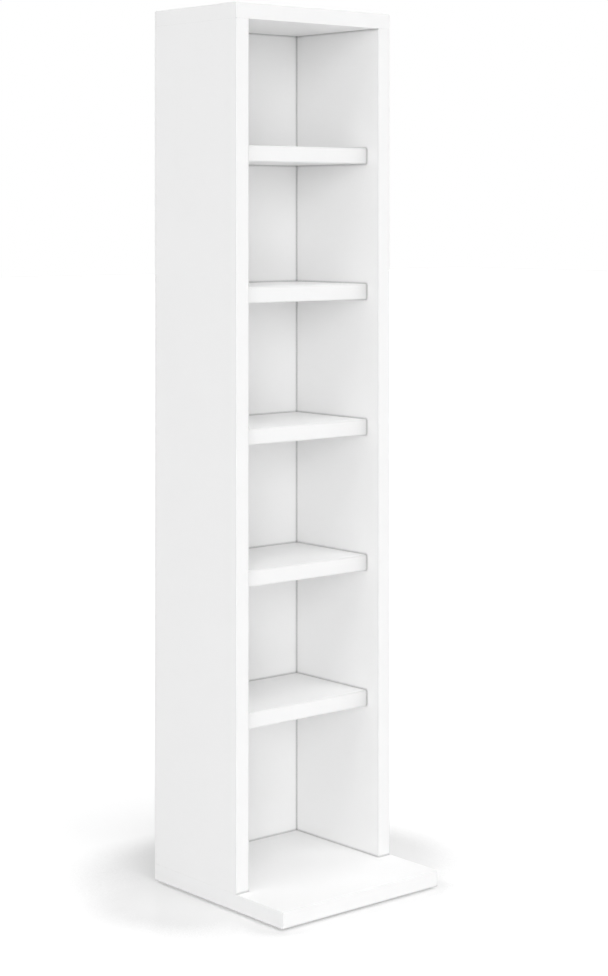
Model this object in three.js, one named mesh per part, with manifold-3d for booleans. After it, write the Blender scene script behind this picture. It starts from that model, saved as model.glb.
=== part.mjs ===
// A storage tower for CD and DVD cases: a tall open carcass with five fixed shelves on a square base plate.
// Millimetres, +Z up, open front towards -Y. The origin is on the floor under the middle of the base plate.

import * as THREE from 'three';
import { mergeVertices } from 'three/addons/utils/BufferGeometryUtils.js';
import Module from 'manifold-3d';

const wasm = await Module();
wasm.setup();

// Boards
const towerWidth = 230;
const baseThickness = 18;
const ledgeDepth = 80;
const sideThickness = 18;
const sideDepth = 147;
const topThickness = 18;
const shelfThickness = 18;
const shelfSetback = 20;
const backThickness = 3;
const backReveal = 1;

// Clear heights of the top and bottom compartments, and the step from one shelf to the next
const topCompartment = 139;
const bottomCompartment = 173;
const shelfPitch = 158.5;
const shelfCount = 5;

// Rounding of the edges that show, and easing of the edges that meet in a seam
const edgeRadius = 1.5;
const seamEasing = 0.3;
const edgeSteps = 4;

// Glide pads under the base plate, placed from its corners to their middles
const glideThickness = 2;
const glideDiameter = 22;
const glideChamfer = 0.6;
const glideInset = 22;

// Dowels, with the length that goes into each board and their places from the front and rear of a joint
const dowelDiameter = 8;
const dowelChamfer = 1;
const dowelInSideFace = 10;
const dowelInShelfEnd = 20;
const dowelInSideEnd = 19;
const dowelInTop = 11;
const dowelInBase = 11;
const sideEndInset = 38;
const shelfEndInset = 30;

// Countersunk screws with a hexagon socket, up through the base plate
const screwLength = 50;
const screwHeadDiameter = 10;
const screwHeadRim = 1;
const screwHeadHeight = 4;
const screwShankDiameter = 5;
const screwTipLength = 5;
const screwSinking = 0.3;
const socketAcrossFlats = 4;
const socketDepth = 2.5;

// Flush nails through the back panel
const nailLength = 20;
const nailHeadDiameter = 3.2;
const nailHeadThickness = 0.6;
const nailShankDiameter = 1.4;
const nailTipLength = 2;
const nailsPerSide = 6;
const nailEndInset = 40;
const topNailSpacing = 90;

// Room between a fastener and its hole, and the overrun of the cuts
const fastenerClearance = 0.3;
const cutOverrun = 1;
const roundSides = 12;
const hexagonSides = 6;

// Heights
const sideHeight = topCompartment + shelfThickness + (shelfCount - 1) * shelfPitch + bottomCompartment;
const baseBottom = glideThickness;
const baseTop = baseBottom + baseThickness;
const sideTop = baseTop + sideHeight;
const towerTop = sideTop + topThickness;
const topShelfMiddle = sideTop - topCompartment - shelfThickness / 2;
const shelfMiddles = Array.from({ length: shelfCount }, (_, k) => topShelfMiddle - k * shelfPitch);

// Places from front to rear
const baseDepth = ledgeDepth + sideDepth + backThickness;
const baseFront = -baseDepth / 2;
const sideFront = baseFront + ledgeDepth;
const sideRear = sideFront + sideDepth;
const towerRear = sideRear + backThickness;
const shelfFront = sideFront + shelfSetback;
const shelfDepth = sideRear - shelfFront;
const sideMiddle = (sideFront + sideRear) / 2;
const sideEndJoints = [sideFront + sideEndInset, sideRear - sideEndInset];
const shelfEndJoints = [shelfFront + shelfEndInset, sideRear - shelfEndInset];

// Places from left to right
const innerWidth = towerWidth - 2 * sideThickness;
const sideOffset = (towerWidth - sideThickness) / 2;
const hands = [{ name: 'left', sign: -1 }, { name: 'right', sign: 1 }];
const ends = ['front', 'rear'];

// Directions
const xAxis = new THREE.Vector3(1, 0, 0);
const yAxis = new THREE.Vector3(0, 1, 0);
const up = new THREE.Vector3(0, 0, 1);
const down = new THREE.Vector3(0, 0, -1);
const forward = new THREE.Vector3(0, -1, 0);
const outward = (hand) => xAxis.clone().multiplyScalar(hand.sign);
const inward = (hand) => xAxis.clone().multiplyScalar(-hand.sign);

// Materials
function material(color, roughness, metalness = 0) {
  return new THREE.MeshStandardMaterial({ color, roughness, metalness });
}
const glossWhite = material('#f3f3f2', 0.12);
const backWhite = material('#ececea', 0.35);
const beech = material('#c9a36f', 0.7);
const zincSteel = material('#b9bbb8', 0.35, 1);
const glidePlastic = material('#6f6d6a', 0.8);

// Closed geometry as a solid that can be cut
function solidOf(geometry) {
  const plain = geometry.clone();
  plain.deleteAttribute('normal');
  plain.deleteAttribute('uv');
  const merged = mergeVertices(plain);
  const mesh = new wasm.Mesh({
    numProp: 3,
    vertProperties: merged.attributes.position.array,
    triVerts: Uint32Array.from(merged.index.array),
  });
  return new wasm.Manifold(mesh);
}

// A cut solid as geometry again
function geometryOf(solid) {
  const mesh = solid.getMesh();
  const geometry = new THREE.BufferGeometry();
  geometry.setAttribute('position', new THREE.BufferAttribute(mesh.vertProperties, 3));
  geometry.setIndex(new THREE.BufferAttribute(mesh.triVerts, 1));
  geometry.computeVertexNormals();
  return geometry;
}

// A rectangle round the origin. Its corner radii go round from the corner in the positive directions.
function roundedRectangle(width, height, radii) {
  const corners = [[1, 1], [-1, 1], [-1, -1], [1, -1]];
  const points = corners.flatMap(([right, high], corner) => {
    const radius = radii[corner];
    const steps = radius > 0 ? edgeSteps : 0;
    return Array.from({ length: steps + 1 }, (_, step) => {
      const angle = (corner + step / edgeSteps) * Math.PI / 2;
      const x = right * (width / 2 - radius) + radius * Math.cos(angle);
      const y = high * (height / 2 - radius) + radius * Math.sin(angle);
      return new THREE.Vector2(x, y);
    });
  });
  return new THREE.Shape(points);
}

// An outline in the plane of two directions, carried along the third, with the origin in its middle
function prism(shape, across, high, length) {
  const geometry = new THREE.ExtrudeGeometry(shape, { depth: length, bevelEnabled: false });
  geometry.translate(0, 0, -length / 2);
  const along = new THREE.Vector3().crossVectors(across, high);
  return geometry.applyMatrix4(new THREE.Matrix4().makeBasis(across, high, along));
}

// A board is what its plan, its side view and its front view have in common.
// The corner radii of the plan start at the right rear, of the side view at the rear top,
// and of the front view at the right top. A view that is left out has sharp corners.
const sharp = [0, 0, 0, 0];
function board([width, depth, height], { plan = sharp, side = sharp, front = sharp }) {
  const fromAbove = prism(roundedRectangle(width, depth, plan), xAxis, yAxis, height + 2 * cutOverrun);
  const fromSide = prism(roundedRectangle(depth, height, side), yAxis, up, width + 2 * cutOverrun);
  const fromFront = prism(roundedRectangle(width, height, front), xAxis, up, depth + 2 * cutOverrun);
  return solidOf(fromAbove).intersect(solidOf(fromSide)).intersect(solidOf(fromFront));
}

// Cuts a board that stands in its place, so that the cuts are given in the tower's own frame
function cutInPlace(blank, position, cuts) {
  const standing = blank.translate(position);
  const cut = cuts.reduce((left, cutter) => left.subtract(cutter), standing);
  return geometryOf(cut.translate(position.map((value) => -value)));
}

// A profile of radius and height pairs turned round Z, its first and last points on the axis
function turned(profile, sides = roundSides) {
  const points = profile.map(([radius, height]) => new THREE.Vector2(radius, height));
  return new THREE.LatheGeometry(points, sides).rotateX(Math.PI / 2);
}

// A turned cutter that starts at a mouth and points in a direction
function cutter(profile, mouth, direction) {
  const geometry = turned(profile);
  geometry.applyQuaternion(new THREE.Quaternion().setFromUnitVectors(up, direction));
  return solidOf(geometry.translate(...mouth));
}

// Meshes, each in its own place and pointing in its own direction
const carcass = new THREE.Group();
const fasteners = new THREE.Group();
function place(group, name, geometry, look, position, direction = up) {
  const mesh = new THREE.Mesh(geometry, look);
  mesh.name = name;
  mesh.position.set(...position);
  mesh.quaternion.setFromUnitVectors(up, direction);
  group.add(mesh);
}

// A dowel whose joint face is at height zero, and the hole for one end of it
function dowel(lengthBelow, lengthAbove) {
  const radius = dowelDiameter / 2;
  return turned([
    [0, -lengthBelow],
    [radius - dowelChamfer, -lengthBelow],
    [radius, dowelChamfer - lengthBelow],
    [radius, lengthAbove - dowelChamfer],
    [radius - dowelChamfer, lengthAbove],
    [0, lengthAbove],
  ]);
}

function dowelHole(length, mouth, direction) {
  const radius = dowelDiameter / 2 + fastenerClearance;
  const end = length + fastenerClearance;
  return cutter([[0, -cutOverrun], [radius, -cutOverrun], [radius, end], [0, end]], mouth, direction);
}

// A screw whose head starts at height zero, and its hole from the underside of the base plate
function screw() {
  const head = screwHeadDiameter / 2;
  const shank = screwShankDiameter / 2;
  const body = turned([
    [0, 0],
    [head, 0],
    [head, screwHeadRim],
    [shank, screwHeadHeight],
    [shank, screwLength - screwTipLength],
    [0, screwLength],
  ]);
  const socketRadius = socketAcrossFlats / 2 / Math.cos(Math.PI / hexagonSides);
  const socket = turned([
    [0, -cutOverrun],
    [socketRadius, -cutOverrun],
    [socketRadius, socketDepth],
    [0, socketDepth],
  ], hexagonSides);
  return geometryOf(solidOf(body).subtract(solidOf(socket)));
}

function screwHole(mouth) {
  const head = screwHeadDiameter / 2 + fastenerClearance;
  const shank = screwShankDiameter / 2 + fastenerClearance;
  const end = screwSinking + screwLength + fastenerClearance;
  return cutter([
    [0, -cutOverrun],
    [head, -cutOverrun],
    [head, screwSinking + screwHeadRim],
    [shank, screwSinking + screwHeadHeight],
    [shank, end],
    [0, end],
  ], mouth, up);
}

// A nail whose head starts at height zero, and its hole from the rear of the back panel
function nail() {
  const head = nailHeadDiameter / 2;
  const shank = nailShankDiameter / 2;
  return turned([
    [0, 0],
    [head, 0],
    [head, nailHeadThickness],
    [shank, nailHeadThickness],
    [shank, nailLength - nailTipLength],
    [0, nailLength],
  ]);
}

function nailHole(mouth) {
  const head = nailHeadDiameter / 2 + fastenerClearance;
  const shank = nailShankDiameter / 2 + fastenerClearance;
  const end = nailLength + fastenerClearance;
  return cutter([
    [0, -cutOverrun],
    [head, -cutOverrun],
    [head, nailHeadThickness],
    [shank, nailHeadThickness],
    [shank, end],
    [0, end],
  ], mouth, forward);
}

// Places of the screws and nails, which each go through two boards
const screwPlaces = hands.flatMap((hand) => sideEndJoints.map((y, end) => ({
  name: `base_screw_${hand.name}_${ends[end]}`,
  mouth: [hand.sign * sideOffset, y, baseBottom],
})));
const nailStep = (sideHeight - 2 * nailEndInset) / (nailsPerSide - 1);
const nailPlaces = hands.flatMap((hand) => [
  ...Array.from({ length: nailsPerSide }, (_, k) => ({
    name: `back_nail_${hand.name}_${k + 1}`,
    mouth: [hand.sign * sideOffset, towerRear, baseTop + nailEndInset + k * nailStep],
  })),
  {
    name: `back_nail_${hand.name}_top`,
    mouth: [hand.sign * topNailSpacing / 2, towerRear, sideTop + topThickness / 2],
  },
]);
const screwHoles = screwPlaces.map(({ mouth }) => screwHole(mouth));
const nailHoles = nailPlaces.map(({ mouth }) => nailHole(mouth));

// Base plate, with sharp rear edges under the back panel
const basePosition = [0, 0, baseBottom + baseThickness / 2];
const baseBlank = board([towerWidth, baseDepth, baseThickness], {
  plan: [seamEasing, seamEasing, edgeRadius, edgeRadius],
  side: [0, edgeRadius, edgeRadius, seamEasing],
  front: [seamEasing, seamEasing, seamEasing, seamEasing],
});
const baseDowelHoles = hands.map((hand) =>
  dowelHole(dowelInBase, [hand.sign * sideOffset, sideMiddle, baseTop], down));
const baseGeometry = cutInPlace(baseBlank, basePosition, [...baseDowelHoles, ...screwHoles]);
place(carcass, 'base_plate', baseGeometry, glossWhite, basePosition);

// Side panels, standing on the base plate
for (const hand of hands) {
  const x = hand.sign * sideOffset;
  const position = [x, sideMiddle, baseTop + sideHeight / 2];
  const [rightRear, leftRear] = hand.sign > 0 ? [seamEasing, 0] : [0, seamEasing];
  const blank = board([sideThickness, sideDepth, sideHeight], {
    plan: [rightRear, leftRear, edgeRadius, edgeRadius],
    side: [0, seamEasing, seamEasing, 0],
    front: [rightRear, leftRear, leftRear, rightRear],
  });
  const shelfHoles = shelfMiddles.flatMap((z) => shelfEndJoints.map((y) =>
    dowelHole(dowelInSideFace, [hand.sign * innerWidth / 2, y, z], outward(hand))));
  const topHoles = sideEndJoints.map((y) => dowelHole(dowelInSideEnd, [x, y, sideTop], down));
  const baseHole = dowelHole(dowelInSideEnd, [x, sideMiddle, baseTop], up);
  const cuts = [...shelfHoles, ...topHoles, baseHole, ...screwHoles, ...nailHoles];
  place(carcass, `side_panel_${hand.name}`, cutInPlace(blank, position, cuts), glossWhite, position);
}

// Top panel, lying over the ends of the side panels
const topPosition = [0, sideMiddle, sideTop + topThickness / 2];
const topBlank = board([towerWidth, sideDepth, topThickness], {
  plan: [seamEasing, seamEasing, edgeRadius, edgeRadius],
  side: [seamEasing, edgeRadius, seamEasing, 0],
  front: [edgeRadius, edgeRadius, seamEasing, seamEasing],
});
const topDowelHoles = hands.flatMap((hand) => sideEndJoints.map((y) =>
  dowelHole(dowelInTop, [hand.sign * sideOffset, y, sideTop], up)));
const topGeometry = cutInPlace(topBlank, topPosition, [...topDowelHoles, ...nailHoles]);
place(carcass, 'top_panel', topGeometry, glossWhite, topPosition);

// Back panel, standing on the base plate against the rear edges of the sides and the top
const backHeight = towerTop - backReveal - baseTop;
const backPosition = [0, sideRear + backThickness / 2, baseTop + backHeight / 2];
const backBlank = board([towerWidth, backThickness, backHeight], {
  plan: [seamEasing, seamEasing, seamEasing, seamEasing],
});
place(carcass, 'back_panel', cutInPlace(backBlank, backPosition, nailHoles), backWhite, backPosition);

// Shelves from the top down, between the sides and against the back panel
shelfMiddles.forEach((z, k) => {
  const position = [0, shelfFront + shelfDepth / 2, z];
  const blank = board([innerWidth, shelfDepth, shelfThickness], {
    plan: [0, 0, seamEasing, seamEasing],
    side: [0, edgeRadius, edgeRadius, 0],
  });
  const holes = hands.flatMap((hand) => shelfEndJoints.map((y) =>
    dowelHole(dowelInShelfEnd, [hand.sign * innerWidth / 2, y, z], inward(hand))));
  place(carcass, `shelf_${k + 1}`, cutInPlace(blank, position, holes), glossWhite, position);
});

// Glide pads at the corners of the base plate
hands.forEach((hand) => [-1, 1].forEach((way, end) => {
  const radius = glideDiameter / 2;
  const geometry = turned([
    [0, 0],
    [radius - glideChamfer, 0],
    [radius, glideChamfer],
    [radius, glideThickness],
    [0, glideThickness],
  ]);
  const position = [hand.sign * (towerWidth / 2 - glideInset), way * (baseDepth / 2 - glideInset), 0];
  place(carcass, `glide_${hand.name}_${ends[end]}`, geometry, glidePlastic, position);
}));

// Dowels of the shelves, the top panel and the base plate
for (const hand of hands) {
  const x = hand.sign * sideOffset;
  shelfMiddles.forEach((z, k) => shelfEndJoints.forEach((y, end) => {
    const name = `shelf_${k + 1}_dowel_${hand.name}_${ends[end]}`;
    const position = [hand.sign * innerWidth / 2, y, z];
    place(fasteners, name, dowel(dowelInShelfEnd, dowelInSideFace), beech, position, outward(hand));
  }));
  sideEndJoints.forEach((y, end) => {
    const name = `top_dowel_${hand.name}_${ends[end]}`;
    place(fasteners, name, dowel(dowelInSideEnd, dowelInTop), beech, [x, y, sideTop]);
  });
  const baseDowel = dowel(dowelInBase, dowelInSideEnd);
  place(fasteners, `base_dowel_${hand.name}`, baseDowel, beech, [x, sideMiddle, baseTop]);
}

// Screws and nails
for (const { name, mouth: [x, y, z] } of screwPlaces) {
  place(fasteners, name, screw(), zincSteel, [x, y, z + screwSinking]);
}
for (const { name, mouth } of nailPlaces) {
  place(fasteners, name, nail(), zincSteel, mouth, forward);
}

const tower = new THREE.Group();
tower.add(carcass, fasteners);
export default tower;
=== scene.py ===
import functools
import math

import bmesh
import bpy
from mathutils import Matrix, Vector


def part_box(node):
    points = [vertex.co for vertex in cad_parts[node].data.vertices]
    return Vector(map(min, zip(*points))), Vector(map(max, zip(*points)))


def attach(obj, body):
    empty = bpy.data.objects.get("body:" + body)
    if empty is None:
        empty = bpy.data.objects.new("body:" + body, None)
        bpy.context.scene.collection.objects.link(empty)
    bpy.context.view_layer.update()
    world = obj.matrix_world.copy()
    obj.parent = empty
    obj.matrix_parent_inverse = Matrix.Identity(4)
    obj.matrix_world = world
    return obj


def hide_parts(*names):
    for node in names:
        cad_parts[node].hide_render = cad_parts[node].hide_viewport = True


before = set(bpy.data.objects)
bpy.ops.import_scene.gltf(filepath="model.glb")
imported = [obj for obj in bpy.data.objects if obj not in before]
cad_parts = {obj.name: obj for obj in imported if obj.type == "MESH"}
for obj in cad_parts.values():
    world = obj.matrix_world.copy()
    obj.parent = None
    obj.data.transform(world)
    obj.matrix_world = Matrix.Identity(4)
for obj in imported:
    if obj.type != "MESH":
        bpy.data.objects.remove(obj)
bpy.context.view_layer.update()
bpy.ops.object.select_all(action="DESELECT")

# The photograph's size, its focal length and the row of its eye level, in pixels
IMAGE_WIDTH = 608
IMAGE_HEIGHT = 976
FOCAL_LENGTH = 2148.9
EYE_LEVEL_ROW = 214.8

# The camera stands level, in front of the tower and to its left, turned from +Y towards +X
CAMERA_PLACE = (-1.5939, -1.8775, 0.7673)
CAMERA_TURN = math.radians(40.556)
SENSOR_WIDTH = 36.0

# Large soft lamps far away: bearing from -Y towards +X, height above the horizon, spread and level
FAR_LAMPS = {
    "low_lamp": (-40, 10, 40, 1.04),
    "floor_lamp": (-20, 6, 50, 0.39),
    "left_lamp": (-80, 55, 40, 0.57),
    "front_lamp": (0, 60, 40, 1.14),
    "right_lamp": (90, 45, 40, 0.6),
}

# A small soft lamp just above the floor
NEAR_LAMP_PLACE = (-1.03, -1.23, 0.3)
NEAR_LAMP_AIM = (0, 0, 0.5)
NEAR_LAMP_SIZE = 0.5
NEAR_LAMP_LEVEL = 1.29

# The surround's light on the object, the strength that looks white, and the rays that show a thing:
# to the camera itself, in a shiny surface, and through a clear one
SURROUND_LEVEL = 0.25
WHITE = 1.0
SHOWING_RAYS = ("Camera", "Glossy", "Transmission")

# The floor looks lighter than its lamps make it, by its lift. The lift fades within reach of the object,
# a painted shadow round its foot, and comes back in the narrow gap under the base as painted light
FLOOR_SIZE = 40.0
FLOOR_TONE = 0.9
FLOOR_ROUGHNESS = 0.12
FLOOR_LIFT = 0.23
FLOOR_SHADOW_REACH = 0.16
FLOOR_SHADOW_DEPTH = 9.0
FLOOR_SHADOW_LEAST = 0.0
UNDER_BASE = (0.6, 0.85)
UNDER_BASE_PAINTED_LIGHT = 1.2

# Rounding of the edges that show, and easing of the edges that meet in a seam
ROUNDED_EDGE = 0.0015
EASED_EDGE = 0.00006
EDGE_STEPS = 6

# Dowels, with flutes along them
DOWEL_RADIUS = 0.004
DOWEL_LENGTH = 0.03
DOWEL_CHAMFER = 0.001
FLUTES = 16
SIDES_PER_FLUTE = 3
FLUTE_DEPTH = 0.0003

# Countersunk screws with a hexagon socket
SCREW_LENGTH = 0.05
SCREW_HEAD_RADIUS = 0.005
SCREW_RIM = 0.001
SCREW_HEAD_HEIGHT = 0.004
SCREW_HEAD_EASING = 0.00015
SCREW_RADIUS = 0.0025
SCREW_NECK_END = 0.011
SCREW_CORE = 0.0018
SCREW_TIP_LENGTH = 0.005
SCREW_POINT = 0.0003
SOCKET_SIDES = 6
SOCKET_ACROSS_FLATS = 0.004
SOCKET_DEPTH = 0.0025
SOCKET_POINT = 0.0007
SOCKET_POINT_SHARE = 0.25

# The screws' coarse thread: a ridge with four corners, sunk a little into the core
THREAD_START = 0.0135
THREAD_PITCH = 0.003
THREAD_TURNS = 10
THREAD_WIDTH = 0.0011
THREAD_CREST = 0.00016
THREAD_SUNK = 0.0001
THREAD_CORNERS = 4

# Flat-headed nails with grip rings and a four-sided point, whose faces meet just past the nail's end
NAIL_LENGTH = 0.02
NAIL_HEAD_RADIUS = 0.0016
NAIL_HEAD_THICKNESS = 0.0006
NAIL_HEAD_EASING = 0.00012
NAIL_RADIUS = 0.0007
NAIL_TIP_LENGTH = 0.002
NAIL_TIP_OVERRUN = 0.00012
NAIL_TIP_FACES = 4
NAIL_TIP_TURN = math.radians(15)
RING_START = 0.0015
RING_STEP = 0.0007
RING_COUNT = 5
RING_HEIGHT = 0.00007
RING_CREST = 0.8

# Glides: radius and height pairs, from the dimple in the middle of the underside outwards and up
GLIDE_PROFILE = [
    (0.0015, 0.00025),
    (0.0019, 0.00055),
    (0.0026, 0.00055),
    (0.0033, 0.0001),
    (0.0038, 0.0),
    (0.0094, 0.0),
    (0.0102, 0.00014),
    (0.0108, 0.0005),
    (0.011, 0.001),
    (0.011, 0.002),
]

# Room round a fastener in its hole, the overrun of a cut, and how near counts as touching
HOLE_CLEARANCE = 0.0003
OVERRUN = 0.001
NEARNESS = 0.00001
CUT_NEARNESS = 0.000001

# How many sides a round shape has
ROUND_SIDES = 24
SMALL_SIDES = 12
GLIDE_SIDES = 48

# Two faces that meet at less than this angle are shaded as one round face, and flat faces count most
SMOOTH_ANGLE = math.radians(35)
CRISP_ANGLE = math.radians(20)
FLAT_FACE_WEIGHT = 100

# How a fastener is turned from upright
UPRIGHT = (0, 0, 0)
LYING_ACROSS = (0, math.radians(90), 0)
POINTING_FORWARD = (math.radians(90), 0, 0)

# The faces of a board: an axis, and whether the face is at its far end
FACES = {
    "left": (0, False),
    "right": (0, True),
    "front": (1, False),
    "rear": (1, True),
    "bottom": (2, False),
    "top": (2, True),
}

# The rounded edges and the eased edges of each board, each named by the two faces that meet in it
SHELF_EDGES = (["front top", "front bottom"], ["front left", "front right"])
BOARD_EDGES = {
    "base_plate": (
        ["front top", "front bottom", "front left", "front right"],
        ["left top", "left bottom", "right top", "right bottom", "rear left", "rear right", "rear bottom"],
    ),
    "side_panel_left": (
        ["front left", "front right"],
        ["front top", "front bottom", "left top", "left bottom", "rear left"],
    ),
    "side_panel_right": (
        ["front left", "front right"],
        ["front top", "front bottom", "right top", "right bottom", "rear right"],
    ),
    "top_panel": (
        ["front left", "front right", "front top", "left top", "right top"],
        ["rear top", "rear left", "rear right", "front bottom", "left bottom", "right bottom"],
    ),
    "back_panel": ([], ["front left", "front right", "rear left", "rear right"]),
}

# The shelves, the fasteners and the glides, by the names of their nodes
SHELF_COUNT = 5
SHELVES = [f"shelf_{k + 1}" for k in range(SHELF_COUNT)]
KINDS = ("dowel", "screw", "nail")
FASTENERS = [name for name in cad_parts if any(kind in name for kind in KINDS)]
GLIDES = [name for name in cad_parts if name.startswith("glide")]

# Patterns in the finishes: waves per metre, and how many finer waves lie in them
LACQUER_CLOUDS = (7.0, 3.0)
LACQUER_PATCHES = (38.0, 2.0)
LACQUER_RIPPLE = (60.0, 1.0)
LACQUER_PEEL = (420.0, 2.0)
HARDBOARD_CLOUDS = (6.0, 3.0)
HARDBOARD_FIBRES = (900.0, 3.0)
BEECH_BROAD_GRAIN = (320.0, 3.0)
BEECH_FINE_GRAIN = (1900.0, 3.0)
BEECH_FLECKS = (1400.0, 1.0)
ZINC_BLOOM = (260.0, 4.0)
ZINC_SCUFFS = (1800.0, 2.0)
GLIDE_GRAIN = (3000.0, 2.0)
GLIDE_SCRATCHES = (700.0, 3.0)
PATTERN_MIDDLE = 0.5

# How a pattern is drawn out along X, Y and Z: the smaller the share, the longer its shapes
EVEN = (1, 1, 1)
GRAIN_ACROSS = (0.06, 1, 1)
GRAIN_UP = (1, 1, 0.06)
FIBRES_UP = (1, 1, 0.3)
SCUFFS_UP = (1, 1, 0.15)
SCRATCHES_BACK = (1, 0.08, 1)

# Painted shade in the base colour, in the last millimetres before a joint, and the heights between which
# it comes in
CONTACT_SHADE_REACH = 0.003
CONTACT_SHADE_DEPTH = 0.8
CONTACT_SHADE_HEIGHTS = (0.003, 0.012)

# Painted shade at the right end of each shelf's front, where the right side stands near, and where along X
# it comes in
RECESS_SHADE_REACH = 0.06
RECESS_SHADE_DEPTH = 0.52
RECESS_SHADE_PLACES = (0.0, 0.02)

# White lacquer, and what its patterns change
BOARD_TONE = 0.94
BOARD_GLOSS = 0.2
CLOUDS_IN_TONE = 0.008
LACQUER_ROUGHNESS = 0.36
PATCHES_IN_ROUGHNESS = 0.06
LACQUER_RELIEF = 0.000012
RIPPLE_SHARE = 4

# Near a board's rounded edges and on its front, by the distance from them: a painted shade along the
# rounded edges, rubbed lacquer there, and a greyer front
EDGE_SHADE_SPAN = (0.001, 0.0022)
EDGE_SHADE_IN_TONE = 0.045
RUBBED = (0.0005, 0.003)
RUBBED_IN_ROUGHNESS = 0.05
FRONT_FACE_DEPTHS = (0.0012, 0.0016)
FRONT_FACE_TONE = 0.924

# Coated hardboard: how deep its rear face and its cut sides go, and what they change; the hollows of the
# weave get a painted shade
REAR_FACE = (0.0006, 0.0003)
CUT_SIDE = (0.0004, 0.0001)
SCREEN_WIRES_PER_METRE = 620
HARDBOARD_CLOUDS_IN_TONE = 0.01
WEAVE_SHADE_IN_TONE = 0.03
CUT_SIDE_IN_TONE = 0.05
HARDBOARD_ROUGHNESS = 0.38
REAR_IN_ROUGHNESS = 0.16
CUT_SIDE_IN_ROUGHNESS = 0.1
FIBRES_IN_ROUGHNESS = 0.05
HARDBOARD_RELIEF = 0.00009
REAR_FIBRES_SHARE = 0.4
ALL_FIBRES_SHARE = 0.12

# Beech
BEECH_LIGHT = (0.70, 0.47, 0.27, 1)
BEECH_DARK = (0.50, 0.30, 0.15, 1)
BEECH_FLECK = (0.33, 0.17, 0.08, 1)
BEECH_GLOSS = 0.35
BROAD_GRAIN_SHARE = 0.55
FINE_GRAIN_SHARE = 0.45
FLECKS_SHOW = (0.62, 0.72)
FLECKS_SHARE = 0.6
BEECH_ROUGHNESS = 0.62
GRAIN_IN_ROUGHNESS = 0.16
BEECH_RELIEF = 0.00005

# Zinc plating
ZINC_LIGHT = (0.74, 0.75, 0.77, 1)
ZINC_DARK = (0.50, 0.51, 0.53, 1)
ZINC_METALLIC = 1.0
CRYSTALS_PER_METRE = 3200.0
BLOOM_SHARE = 0.55
CRYSTALS_SHARE = 0.35
ZINC_ROUGHNESS = 0.22
BLOOM_IN_ROUGHNESS = 0.22
CRYSTALS_IN_ROUGHNESS = 0.1
ZINC_RELIEF = 0.000008

# The glides' plastic, and the heights between which its underside ends
GLIDE_GREY = (0.30, 0.295, 0.285, 1)
GLIDE_SCUFFED = (0.46, 0.45, 0.44, 1)
GLIDE_UNDERSIDE = (0.00005, 0.0002)
SCRATCHES_SHOW = (0.45, 0.6)
SCUFFED_SHARE = 0.7
GLIDE_GRAIN_SHARE = 0.15
GLIDE_ROUGHNESS = 0.5
GLIDE_GRAIN_IN_ROUGHNESS = 0.15
SCUFFED_IN_ROUGHNESS = 0.1
GLIDE_RELIEF = 0.00003

# How many rays look for what is near a point, and the places of a Mix node's two colours and its result
OPENNESS_SAMPLES = 8
FIRST_COLOUR = 6
SECOND_COLOUR = 7
BLENDED_COLOUR = 2


# Shader maths
class Signal:
    """A value that runs between the nodes of a finish. Each sign on it adds the node that works it out."""

    def __init__(self, finish, socket):
        self.finish = finish
        self.socket = socket

    def __add__(self, other):
        return self.finish.maths("ADD", self, other)

    def __radd__(self, other):
        return self.finish.maths("ADD", other, self)

    def __sub__(self, other):
        return self.finish.maths("SUBTRACT", self, other)

    def __rsub__(self, other):
        return self.finish.maths("SUBTRACT", other, self)

    def __mul__(self, other):
        return self.finish.maths("MULTIPLY", self, other)

    def __rmul__(self, other):
        return self.finish.maths("MULTIPLY", other, self)

    def __abs__(self):
        return self.finish.maths("ABSOLUTE", self)


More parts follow.
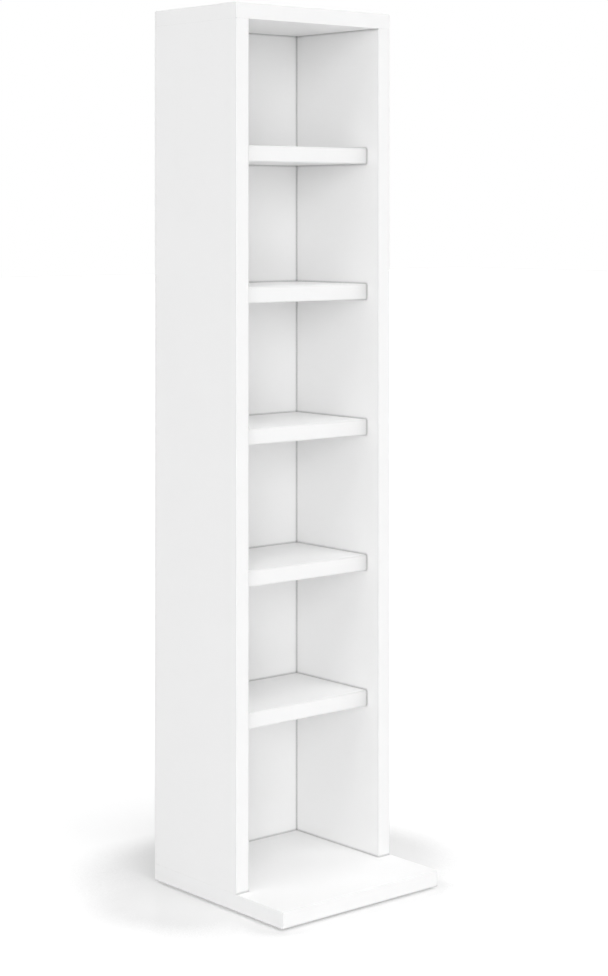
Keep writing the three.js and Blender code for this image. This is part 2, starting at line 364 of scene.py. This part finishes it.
class Finish:
    """A node tree and the ways to add to it."""

    def __init__(self, owner):
        owner.use_nodes = True
        self.owner = owner
        self.tree = owner.node_tree

    def feed(self, socket, value):
        if isinstance(value, Signal):
            self.tree.links.new(value.socket, socket)
        else:
            socket.default_value = value

    def node(self, kind, settings, inputs, output=0):
        """Adds a node, with its settings before its inputs, and returns one of its outputs."""
        node = self.tree.nodes.new(kind)
        for name, value in settings.items():
            setattr(node, name, value)
        for name, value in inputs.items():
            self.feed(node.inputs[name], value)
        return Signal(self, node.outputs[output])

    def maths(self, operation, *values):
        return self.node("ShaderNodeMath", {"operation": operation}, dict(enumerate(values)))

    def least(self, a, b):
        return self.maths("MINIMUM", a, b)

    def most(self, a, b):
        return self.maths("MAXIMUM", a, b)

    def wave(self, angle):
        return self.maths("SINE", angle)

    def step(self, value, start, end):
        """Goes smoothly from 0 at the start to 1 at the end."""
        settings = {"interpolation_type": "SMOOTHSTEP"}
        inputs = {"Value": value, "From Min": start, "From Max": end}
        return self.node("ShaderNodeMapRange", settings, inputs)

    def place(self):
        """Where a point of the surface is, in metres."""
        return self.node("ShaderNodeTexCoord", {}, {}, "Object")

    def along(self, axis):
        """How far along X, Y or Z a point of the surface is, in metres."""
        return self.node("ShaderNodeSeparateXYZ", {}, {0: self.place()}, axis)

    def noise(self, pattern, stretch=EVEN):
        """A soft random pattern between 0 and 1."""
        scale, detail = pattern
        place = self.node("ShaderNodeMapping", {}, {"Vector": self.place(), "Scale": stretch})
        return self.node("ShaderNodeTexNoise", {}, {"Vector": place, "Scale": scale, "Detail": detail})

    def cells(self, scale):
        """A pattern of small cells, each with its own random value between 0 and 1."""
        place = {"Vector": self.place(), "Scale": scale}
        colour = self.node("ShaderNodeTexVoronoi", {}, place, "Color")
        return self.node("ShaderNodeSeparateColor", {}, {"Color": colour}, "Red")

    def openness(self, reach):
        """1 in the open, and less where other surfaces stand within reach."""
        settings = {"samples": OPENNESS_SAMPLES}
        return self.node("ShaderNodeAmbientOcclusion", settings, {"Distance": reach}, "AO")

    def grey(self, value):
        return self.node("ShaderNodeCombineColor", {}, {"Red": value, "Green": value, "Blue": value})

    def blend(self, first, second, share):
        """One colour turning into another as the share goes from 0 to 1."""
        colours = {"Factor": share, FIRST_COLOUR: first, SECOND_COLOUR: second}
        return self.node("ShaderNodeMix", {"data_type": "RGBA"}, colours, BLENDED_COLOUR)

    def bump(self, height, relief):
        """Gives the surface a relief, in metres, that follows a pattern."""
        return self.node("ShaderNodeBump", {}, {"Height": height, "Distance": relief})

    def shader(self, **inputs):
        """Sets the inputs of the finish's main shader."""
        for name, value in inputs.items():
            self.feed(self.tree.nodes["Principled BSDF"].inputs[name.replace("_", " ")], value)


def new_finish(name):
    return Finish(bpy.data.materials.new(name))


def seen_or_mirrored(finish):
    """1 on what is seen by the camera or in a shiny or clear surface, and 0 on what only gives light."""
    path = finish.tree.nodes.new("ShaderNodeLightPath")
    camera, shine, clear = (Signal(finish, path.outputs[f"Is {kind} Ray"]) for kind in SHOWING_RAYS)
    return finish.most(camera, finish.most(shine, clear))


# Camera, light and floor
def add_camera():
    """A level camera with its lens shifted down, so that upright edges stay upright."""
    data = bpy.data.cameras.new("camera")
    data.sensor_fit = "HORIZONTAL"
    data.sensor_width = SENSOR_WIDTH
    data.lens = SENSOR_WIDTH * FOCAL_LENGTH / IMAGE_WIDTH
    data.shift_y = (EYE_LEVEL_ROW - IMAGE_HEIGHT / 2) / IMAGE_WIDTH
    camera = bpy.data.objects.new("camera", data)
    camera.location = CAMERA_PLACE
    camera.rotation_euler = (math.radians(90), 0, -CAMERA_TURN)
    bpy.context.scene.collection.objects.link(camera)
    bpy.context.scene.camera = camera


def add_lamp(name, kind, place, direction, size, level):
    """A soft lamp that shines in a direction. A sun's size is its spread."""
    data = bpy.data.lights.new(name, kind)
    if kind == "SUN":
        data.angle = size
    else:
        data.size = size
    data.energy = level
    lamp = bpy.data.objects.new(name, data)
    lamp.location = place
    lamp.rotation_euler = direction.to_track_quat("-Z", "Y").to_euler()
    bpy.context.scene.collection.objects.link(lamp)


def add_lamps():
    for name, (bearing, height, spread, level) in FAR_LAMPS.items():
        a = math.radians(bearing)
        e = math.radians(height)
        towards = Vector((math.sin(a) * math.cos(e), -math.cos(a) * math.cos(e), math.sin(e)))
        add_lamp(name, "SUN", (0, 0, 0), -towards, math.radians(spread), level)
    aim = Vector(NEAR_LAMP_AIM) - Vector(NEAR_LAMP_PLACE)
    add_lamp("near_lamp", "AREA", NEAR_LAMP_PLACE, aim, NEAR_LAMP_SIZE, NEAR_LAMP_LEVEL)


def add_surround():
    """A plain surround that shows as white and lights the object from all round."""
    world = bpy.data.worlds.new("surround")
    bpy.context.scene.world = world
    surround = Finish(world)
    level = SURROUND_LEVEL + (WHITE - SURROUND_LEVEL) * seen_or_mirrored(surround)
    background = surround.tree.nodes["Background"]
    surround.feed(background.inputs["Color"], (1, 1, 1, 1))
    surround.feed(background.inputs["Strength"], level)


def add_floor():
    """A plain white floor, faintly polished, with a painted shadow round the object's foot and painted
    light under the base.
    """
    bpy.ops.mesh.primitive_plane_add(size=FLOOR_SIZE)
    floor = bpy.context.object
    floor.name = "floor"
    finish = new_finish("floor")
    # The glow fades where the object is near, a painted shadow, and comes back in the gap under the base,
    # painted light
    near = 1 - finish.openness(FLOOR_SHADOW_REACH)
    painted_shade = finish.most(FLOOR_SHADOW_LEAST, 1 - FLOOR_SHADOW_DEPTH * near)
    under = finish.step(near, *UNDER_BASE)
    lift = FLOOR_LIFT * finish.most(painted_shade, UNDER_BASE_PAINTED_LIGHT * under)
    finish.shader(
        Base_Color=(FLOOR_TONE, FLOOR_TONE, FLOOR_TONE, 1),
        Roughness=FLOOR_ROUGHNESS,
        Emission_Color=finish.grey(seen_or_mirrored(finish) * lift),
        Emission_Strength=WHITE,
    )
    floor.data.materials.append(finish.owner)


# Modelling
def select_only(*pieces):
    bpy.ops.object.select_all(action="DESELECT")
    for piece in pieces:
        piece.select_set(True)
    bpy.context.view_layer.objects.active = pieces[0]


def name_piece(piece, name):
    piece.name = name
    piece.data.name = name
    return piece


def stand(piece, place, turn=UPRIGHT):
    """Turns a piece and moves it to its place, and keeps both in its mesh."""
    select_only(piece)
    piece.rotation_euler = turn
    piece.location = place
    bpy.ops.object.transform_apply(location=True, rotation=True, scale=True)


def copy_of(model, name):
    select_only(model)
    bpy.ops.object.duplicate(linked=False)
    return name_piece(bpy.context.object, name)


def throw_away(piece):
    bpy.data.objects.remove(piece, do_unlink=True)


def join(pieces):
    select_only(*pieces)
    bpy.ops.object.join()
    return pieces[0]


def apply_modifier(piece, kind, **settings):
    select_only(piece)
    modifier = piece.modifiers.new(kind, kind)
    for name, value in settings.items():
        setattr(modifier, name, value)
    bpy.ops.object.modifier_apply(modifier=modifier.name)


def combine(piece, operation, other):
    """Adds another shape to a piece or takes it out, and throws the other shape away."""
    apply_modifier(piece, "BOOLEAN", operation=operation, solver="EXACT", object=other)
    throw_away(other)


def smooth(piece, angle=SMOOTH_ANGLE):
    """Shades round faces as round and flat faces as flat."""
    select_only(piece)
    bpy.ops.object.shade_smooth_by_angle(angle=angle)
    apply_modifier(piece, "WEIGHTED_NORMAL", keep_sharp=True, weight=FLAT_FACE_WEIGHT)


def select_corners(piece, rule):
    """Selects, in edit mode, the corners of a piece that a rule picks by their place."""
    bpy.ops.mesh.select_all(action="DESELECT")
    mesh = bmesh.from_edit_mesh(piece.data)
    for corner in mesh.verts:
        corner.select_set(rule(corner.co))
    mesh.select_flush_mode()
    bmesh.update_edit_mesh(piece.data)


def turn_faces_out():
    bpy.ops.mesh.select_all(action="SELECT")
    bpy.ops.mesh.normals_make_consistent(inside=False)


def add_turned(name, profile, sides=ROUND_SIDES):
    """A closed solid round Z: a disc that is drawn from one radius and height to the next."""
    radius, height = profile[0]
    place = (0, 0, height)
    bpy.ops.mesh.primitive_circle_add(vertices=sides, radius=radius, fill_type="NGON", location=place)
    piece = name_piece(bpy.context.object, name)
    bpy.ops.object.transform_apply(location=True, rotation=True, scale=True)
    bpy.ops.object.mode_set(mode="EDIT")
    bpy.ops.mesh.select_all(action="SELECT")
    for next_radius, next_height in profile[1:]:
        step = {"value": (0, 0, next_height - height)}
        bpy.ops.mesh.extrude_region_move(TRANSFORM_OT_translate=step)
        scale = next_radius / radius
        bpy.ops.transform.resize(value=(scale, scale, 1), center_override=(0, 0, next_height))
        radius, height = next_radius, next_height
    turn_faces_out()
    bpy.ops.object.mode_set(mode="OBJECT")
    return piece


# Fasteners
def add_dowel():
    """A dowel with flutes along it that let air and glue out."""
    sides = SIDES_PER_FLUTE * FLUTES
    end_radius = DOWEL_RADIUS - DOWEL_CHAMFER
    dowel = add_turned("dowel", [
        (end_radius, 0),
        (DOWEL_RADIUS, DOWEL_CHAMFER),
        (DOWEL_RADIUS, DOWEL_LENGTH - DOWEL_CHAMFER),
        (end_radius, DOWEL_LENGTH),
    ], sides)

    def in_flute(point):
        step = round(math.atan2(point.y, point.x) / math.tau * sides)
        return point.xy.length > DOWEL_RADIUS - NEARNESS and step % SIDES_PER_FLUTE == 0

    bpy.ops.object.mode_set(mode="EDIT")
    select_corners(dowel, in_flute)
    scale = 1 - FLUTE_DEPTH / DOWEL_RADIUS
    bpy.ops.transform.resize(value=(scale, scale, 1), center_override=(0, 0, 0))
    bpy.ops.object.mode_set(mode="OBJECT")
    smooth(dowel, CRISP_ANGLE)
    return dowel


def add_thread():
    """The ridge of a thread, which winds up round the screw's core and starts and ends inside it."""
    root = SCREW_CORE - THREAD_SUNK
    depth = SCREW_RADIUS - root
    bpy.ops.mesh.primitive_plane_add(size=1)
    thread = name_piece(bpy.context.object, "thread")
    bpy.ops.object.mode_set(mode="EDIT")
    bpy.ops.mesh.select_all(action="SELECT")
    bpy.ops.transform.rotate(value=math.radians(90), orient_axis="X", center_override=(0, 0, 0))
    bpy.ops.transform.resize(value=(depth, 1, THREAD_WIDTH), center_override=(0, 0, 0))
    bpy.ops.transform.translate(value=(root + depth / 2, 0, THREAD_START))
    select_corners(thread, lambda point: point.x > root + depth / 2)
    crest = (1, 1, THREAD_CREST / THREAD_WIDTH)
    bpy.ops.transform.resize(value=crest, center_override=(0, 0, THREAD_START))
    bpy.ops.mesh.select_all(action="SELECT")
    bpy.ops.mesh.delete(type="ONLY_FACE")
    bpy.ops.object.mode_set(mode="OBJECT")
    turns = {"screw_offset": THREAD_PITCH, "iterations": THREAD_TURNS}
    steps = {"steps": ROUND_SIDES, "render_steps": ROUND_SIDES}
    apply_modifier(thread, "SCREW", axis="Z", **turns, **steps)
    bpy.ops.object.mode_set(mode="EDIT")
    bpy.ops.mesh.select_all(action="SELECT")
    bpy.ops.mesh.fill_holes(sides=THREAD_CORNERS)
    turn_faces_out()
    bpy.ops.object.mode_set(mode="OBJECT")
    return thread


def add_screw():
    """A countersunk screw with its thread wound on and its socket cut out."""
    screw = add_turned("screw", [
        (SCREW_HEAD_RADIUS - SCREW_HEAD_EASING, 0),
        (SCREW_HEAD_RADIUS, SCREW_HEAD_EASING),
        (SCREW_HEAD_RADIUS, SCREW_RIM - SCREW_HEAD_EASING),
        (SCREW_RADIUS, SCREW_HEAD_HEIGHT),
        (SCREW_RADIUS, SCREW_NECK_END),
        (SCREW_CORE, SCREW_NECK_END + SCREW_RADIUS - SCREW_CORE),
        (SCREW_CORE, SCREW_LENGTH - SCREW_TIP_LENGTH),
        (SCREW_POINT, SCREW_LENGTH),
    ])
    combine(screw, "UNION", add_thread())
    corner_radius = SOCKET_ACROSS_FLATS / 2 / math.cos(math.pi / SOCKET_SIDES)
    socket = add_turned("socket", [
        (corner_radius, -OVERRUN),
        (corner_radius, SOCKET_DEPTH),
        (corner_radius * SOCKET_POINT_SHARE, SOCKET_DEPTH + SOCKET_POINT),
    ], SOCKET_SIDES)
    combine(screw, "DIFFERENCE", socket)
    bpy.ops.object.mode_set(mode="EDIT")
    bpy.ops.mesh.select_all(action="SELECT")
    bpy.ops.mesh.dissolve_degenerate(threshold=NEARNESS)
    turn_faces_out()
    bpy.ops.object.mode_set(mode="OBJECT")
    smooth(screw)
    return screw


def add_nail():
    """A flat-headed nail, turned with its rings and then cut to its point."""
    rings = [
        (NAIL_RADIUS + height, RING_START + (k + share) * RING_STEP)
        for k in range(RING_COUNT)
        for height, share in ((0, 0), (RING_HEIGHT, RING_CREST))
    ]
    nail = add_turned("nail", [
        (NAIL_HEAD_RADIUS - NAIL_HEAD_EASING, 0),
        (NAIL_HEAD_RADIUS, NAIL_HEAD_EASING),
        (NAIL_HEAD_RADIUS, NAIL_HEAD_THICKNESS),
        (NAIL_RADIUS, NAIL_HEAD_THICKNESS),
        *rings,
        (NAIL_RADIUS, RING_START + RING_COUNT * RING_STEP),
        (NAIL_RADIUS, NAIL_LENGTH),
    ], SMALL_SIDES)
    tip = (0, 0, NAIL_LENGTH + NAIL_TIP_OVERRUN)
    away = {"use_fill": True, "clear_outer": True, "threshold": CUT_NEARNESS}
    bpy.ops.object.mode_set(mode="EDIT")
    for k in range(NAIL_TIP_FACES):
        bearing = math.tau * k / NAIL_TIP_FACES + NAIL_TIP_TURN
        out = (NAIL_TIP_LENGTH * math.cos(bearing), NAIL_TIP_LENGTH * math.sin(bearing), NAIL_RADIUS)
        bpy.ops.mesh.select_all(action="SELECT")
        bpy.ops.mesh.bisect(plane_co=tip, plane_no=out, **away)
    turn_faces_out()
    bpy.ops.object.mode_set(mode="OBJECT")
    smooth(nail)
    return nail


def add_hole_models():
    """A cutter for the hole of each kind of fastener, a little wider and longer than the fastener."""
    room = HOLE_CLEARANCE
    dowel = [
        (DOWEL_RADIUS + room, -room),
        (DOWEL_RADIUS + room, DOWEL_LENGTH + room),
    ]
    screw = [
        (SCREW_HEAD_RADIUS + room, -OVERRUN),
        (SCREW_HEAD_RADIUS + room, SCREW_RIM),
        (SCREW_RADIUS + room, SCREW_HEAD_HEIGHT),
        (SCREW_RADIUS + room, SCREW_LENGTH + room),
    ]
    nail = [
        (NAIL_HEAD_RADIUS + room, -OVERRUN),
        (NAIL_HEAD_RADIUS + room, NAIL_HEAD_THICKNESS),
        (NAIL_RADIUS + room, NAIL_HEAD_THICKNESS),
        (NAIL_RADIUS + room, NAIL_LENGTH + room),
    ]
    return {
        "dowel": add_turned("dowel_hole", dowel),
        "screw": add_turned("screw_hole", screw),
        "nail": add_turned("nail_hole", nail, SMALL_SIDES),
    }


def kind_of(fastener):
    return next(kind for kind in KINDS if kind in fastener)


def seat(fastener):
    """Where a fastener starts, and how it is turned from upright."""
    low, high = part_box(fastener)
    middle = (low + high) / 2
    if "nail" in fastener:
        return (middle.x, high.y, middle.z), POINTING_FORWARD
    if "shelf" in fastener:
        return (low.x, middle.y, middle.z), LYING_ACROSS
    return (middle.x, middle.y, low.z), UPRIGHT


# Boards
def add_block(name, low, high):
    """A plain block between two corners, ready to be shaped."""
    bpy.ops.mesh.primitive_cube_add(size=1, location=(low + high) / 2, scale=high - low)
    bpy.ops.object.transform_apply(location=True, rotation=True, scale=True)
    return name_piece(bpy.context.object, name)


def lies_on(point, side, low, high):
    """Whether a point lies on one face of the block between two corners."""
    axis, at_far_end = FACES[side]
    corner = high if at_far_end else low
    return abs(point[axis] - corner[axis]) < NEARNESS


def weigh_edges(block, low, high, edges, weight):
    """Gives the named edges of a block their share of the full rounding."""
    select_only(block)
    bpy.ops.object.mode_set(mode="EDIT")
    bpy.ops.mesh.select_all(action="DESELECT")
    mesh = bmesh.from_edit_mesh(block.data)
    for edge in mesh.edges:
        sides = {side for side in FACES if all(lies_on(end.co, side, low, high) for end in edge.verts)}
        if any(set(pair.split()) == sides for pair in edges):
            edge.select_set(True)
    bmesh.update_edit_mesh(block.data)
    bpy.ops.transform.edge_bevelweight(value=weight)
    bpy.ops.object.mode_set(mode="OBJECT")


def overlap(low, high, other_low, other_high):
    """Whether two blocks, each between two corners, share some room."""
    lows = (max(a, b) for a, b in zip(low, other_low))
    highs = (min(a, b) for a, b in zip(high, other_high))
    return all(a + NEARNESS < b for a, b in zip(lows, highs))


def add_board(name, node, holes):
    """A board in its place, with rounded and eased edges and the holes of its fasteners."""
    low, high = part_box(node)
    board = add_block(name, low, high)
    rounded, eased = BOARD_EDGES.get(node, SHELF_EDGES)
    if rounded:
        weigh_edges(board, low, high, rounded, 1.0)
    weigh_edges(board, low, high, eased, EASED_EDGE / ROUNDED_EDGE)
    apply_modifier(board, "BEVEL", width=ROUNDED_EDGE, segments=EDGE_STEPS, limit_method="WEIGHT")
    drills = []
    for fastener in FASTENERS:
        if overlap(low, high, *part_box(fastener)):
            drill = copy_of(holes[kind_of(fastener)], f"drill_{fastener}")
            stand(drill, *seat(fastener))
            drills.append(drill)
    combine(board, "DIFFERENCE", join(drills))
    smooth(board)
    return board


# Finishes
def painted_contact_shade(finish):
    """Painted shade in the last millimetres before a joint: 1 in the open and over the floor."""
    off_floor = finish.step(finish.along(2), *CONTACT_SHADE_HEIGHTS)
    return 1 - CONTACT_SHADE_DEPTH * off_floor * (1 - finish.openness(CONTACT_SHADE_REACH))


def painted_recess_shade(finish, in_front):
    """Painted shade beside the right side on a shelf's front: 1 away from it and on other faces."""
    on_right = finish.step(finish.along(0), *RECESS_SHADE_PLACES)
    return 1 - RECESS_SHADE_DEPTH * on_right * in_front * (1 - finish.openness(RECESS_SHADE_REACH))


def from_rounding(finish, name):
    """How far a point on a board is from the nearest of the board's rounded edges, in metres."""
    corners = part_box(name)
    rounded, _ = BOARD_EDGES.get(name, SHELF_EDGES)
    distances = []
    for pair in rounded:
        faces = [FACES[side] for side in pair.split()]
        away = [abs(finish.along(axis) - corners[at_far_end][axis]) for axis, at_far_end in faces]
        distances.append(finish.most(*away))
    return functools.reduce(finish.least, distances)


def lacquered_board(name):
    """White lacquer with a faint orange peel and a greyer front, with painted shade along rounded edges
    and at joints.
    """
    finish = new_finish(f"gloss_white_{name}")
    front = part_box(name)[0].y
    clouds = finish.noise(LACQUER_CLOUDS)
    patches = finish.noise(LACQUER_PATCHES)
    edge_distance = from_rounding(finish, name)
    # Painted shade: the colour is a little darker close to the rounded edges
    edge_shade = 1 - finish.step(edge_distance, *EDGE_SHADE_SPAN)
    rubbed = (1 - finish.step(edge_distance, *RUBBED)) * patches
    # The front faces are a little greyer than the rest of the board
    front_face = 1 - finish.step(finish.along(1), *(front + depth for depth in FRONT_FACE_DEPTHS))
    tone = BOARD_TONE + CLOUDS_IN_TONE * (clouds - PATTERN_MIDDLE) - EDGE_SHADE_IN_TONE * edge_shade
    # Painted shade: the colour is darkened where another surface is near
    painted_shade = painted_contact_shade(finish)
    # On a shelf, painted shade also darkens the right end of the front
    if name in SHELVES:
        painted_shade *= painted_recess_shade(finish, front_face)
    peel = finish.noise(LACQUER_PEEL)
    ripple = finish.noise(LACQUER_RIPPLE)
    uneven = PATCHES_IN_ROUGHNESS * (patches - PATTERN_MIDDLE)
    finish.shader(
        Base_Color=finish.grey(tone * (1 - (1 - FRONT_FACE_TONE) * front_face) * painted_shade),
        Roughness=LACQUER_ROUGHNESS + uneven - RUBBED_IN_ROUGHNESS * rubbed,
        Specular_IOR_Level=BOARD_GLOSS,
        Normal=finish.bump(peel + RIPPLE_SHARE * ripple, LACQUER_RELIEF),
    )
    return finish.owner


def coated_hardboard(name):
    """Thin hardboard: a smooth white coat in front, and the weave of the press screen behind, with painted
    shade in its hollows.
    """
    finish = new_finish(f"white_hardboard_{name}")
    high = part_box(name)[1]
    behind = finish.step(finish.along(1), *(high.y - depth for depth in REAR_FACE))
    at_side = finish.step(abs(finish.along(0)), *(high.x - depth for depth in CUT_SIDE))
    wires = SCREEN_WIRES_PER_METRE * math.pi
    weave = abs(finish.wave(wires * finish.along(0))) * abs(finish.wave(wires * finish.along(2)))
    clouds = finish.noise(HARDBOARD_CLOUDS)
    fibres = finish.noise(HARDBOARD_FIBRES, FIBRES_UP)
    even_tone = BOARD_TONE + HARDBOARD_CLOUDS_IN_TONE * (clouds - PATTERN_MIDDLE)
    # Painted shade: the hollows of the weave on the rear face are darker
    tone = even_tone - WEAVE_SHADE_IN_TONE * behind * (1 - weave) - CUT_SIDE_IN_TONE * at_side * fibres
    rough = HARDBOARD_ROUGHNESS + REAR_IN_ROUGHNESS * behind + CUT_SIDE_IN_ROUGHNESS * at_side
    height = behind * (weave + REAR_FIBRES_SHARE * fibres) + ALL_FIBRES_SHARE * fibres
    finish.shader(
        # The colour is darkened by painted shade near joints
        Base_Color=finish.grey(tone * painted_contact_shade(finish)),
        Roughness=rough + FIBRES_IN_ROUGHNESS * (fibres - PATTERN_MIDDLE),
        Specular_IOR_Level=BOARD_GLOSS,
        Normal=finish.bump(height, HARDBOARD_RELIEF),
    )
    return finish.owner


def beech(name, grain):
    """Turned beech with its grain along one axis: fine straight grain and short dark flecks."""
    finish = new_finish(f"beech_{name}")
    broad = finish.noise(BEECH_BROAD_GRAIN, grain)
    fine = finish.noise(BEECH_FINE_GRAIN, grain)
    flecks = finish.step(finish.noise(BEECH_FLECKS, grain), *FLECKS_SHOW)
    share = BROAD_GRAIN_SHARE * broad + FINE_GRAIN_SHARE * fine
    wood = finish.blend(BEECH_LIGHT, BEECH_DARK, share)
    finish.shader(
        Base_Color=finish.blend(wood, BEECH_FLECK, FLECKS_SHARE * flecks),
        Roughness=BEECH_ROUGHNESS + GRAIN_IN_ROUGHNESS * fine,
        Specular_IOR_Level=BEECH_GLOSS,
        Normal=finish.bump(fine - flecks, BEECH_RELIEF),
    )
    return finish.owner


def zinc():
    """Bright zinc on steel: a fine mottle of crystals, with a duller bloom in places."""
    finish = new_finish("zinc_plated_steel")
    bloom = finish.noise(ZINC_BLOOM)
    crystals = finish.cells(CRYSTALS_PER_METRE)
    scuffs = finish.noise(ZINC_SCUFFS, SCUFFS_UP)
    share = BLOOM_SHARE * bloom + CRYSTALS_SHARE * crystals
    finish.shader(
        Base_Color=finish.blend(ZINC_LIGHT, ZINC_DARK, share),
        Metallic=ZINC_METALLIC,
        Roughness=ZINC_ROUGHNESS + BLOOM_IN_ROUGHNESS * bloom + CRYSTALS_IN_ROUGHNESS * crystals,
        Normal=finish.bump(crystals + scuffs, ZINC_RELIEF),
    )
    return finish.owner


def glide_plastic(name):
    """Moulded plastic with a fine grain, scuffed pale where it slides on the floor."""
    finish = new_finish(f"glide_plastic_{name}")
    grain = finish.noise(GLIDE_GRAIN)
    scratches = finish.noise(GLIDE_SCRATCHES, SCRATCHES_BACK)
    under = 1 - finish.step(finish.along(2), *GLIDE_UNDERSIDE)
    scuffed = under * finish.step(scratches, *SCRATCHES_SHOW)
    share = SCUFFED_SHARE * scuffed + GLIDE_GRAIN_SHARE * grain
    finish.shader(
        Base_Color=finish.blend(GLIDE_GREY, GLIDE_SCUFFED, share),
        Roughness=GLIDE_ROUGHNESS + GLIDE_GRAIN_IN_ROUGHNESS * grain - SCUFFED_IN_ROUGHNESS * scuffed,
        Normal=finish.bump(grain - scuffed, GLIDE_RELIEF),
    )
    return finish.owner


# The tower
def install(piece, node, look):
    """Puts a finished piece in the place of a plain one."""
    piece.data.materials.clear()
    piece.data.materials.append(look)
    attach(piece, "root")
    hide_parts(node)


def add_boards():
    holes = add_hole_models()
    for node in BOARD_EDGES:
        board = add_board(f"{node}_board", node, holes)
        if node == "back_panel":
            install(board, node, coated_hardboard(node))
        else:
            install(board, node, lacquered_board(node))
    shelf = add_board("shelf_model", SHELVES[0], holes)
    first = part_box(SHELVES[0])[0]
    for node in SHELVES:
        board = copy_of(shelf, f"{node}_board")
        stand(board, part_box(node)[0] - first)
        install(board, node, lacquered_board(node))
    throw_away(shelf)
    for hole in holes.values():
        throw_away(hole)


def add_fasteners():
    models = {"dowel": add_dowel(), "screw": add_screw(), "nail": add_nail()}
    lying = beech("lying", GRAIN_ACROSS)
    upright = beech("upright", GRAIN_UP)
    steel = zinc()
    for node in FASTENERS:
        kind = kind_of(node)
        fastener = copy_of(models[kind], f"{node}_detailed")
        stand(fastener, *seat(node))
        if kind == "dowel":
            install(fastener, node, lying if "shelf" in node else upright)
        else:
            install(fastener, node, steel)
    for model in models.values():
        throw_away(model)


def add_glides():
    model = add_turned("glide_model", GLIDE_PROFILE, GLIDE_SIDES)
    smooth(model)
    for node in GLIDES:
        low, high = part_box(node)
        middle = (low + high) / 2
        glide = copy_of(model, f"{node}_pad")
        stand(glide, (middle.x, middle.y, low.z))
        install(glide, node, glide_plastic(node))
    throw_away(model)


add_camera()
add_surround()
add_lamps()
add_floor()
add_boards()
add_fasteners()
add_glides()

bpy.context.scene.view_settings.view_transform = "Standard"
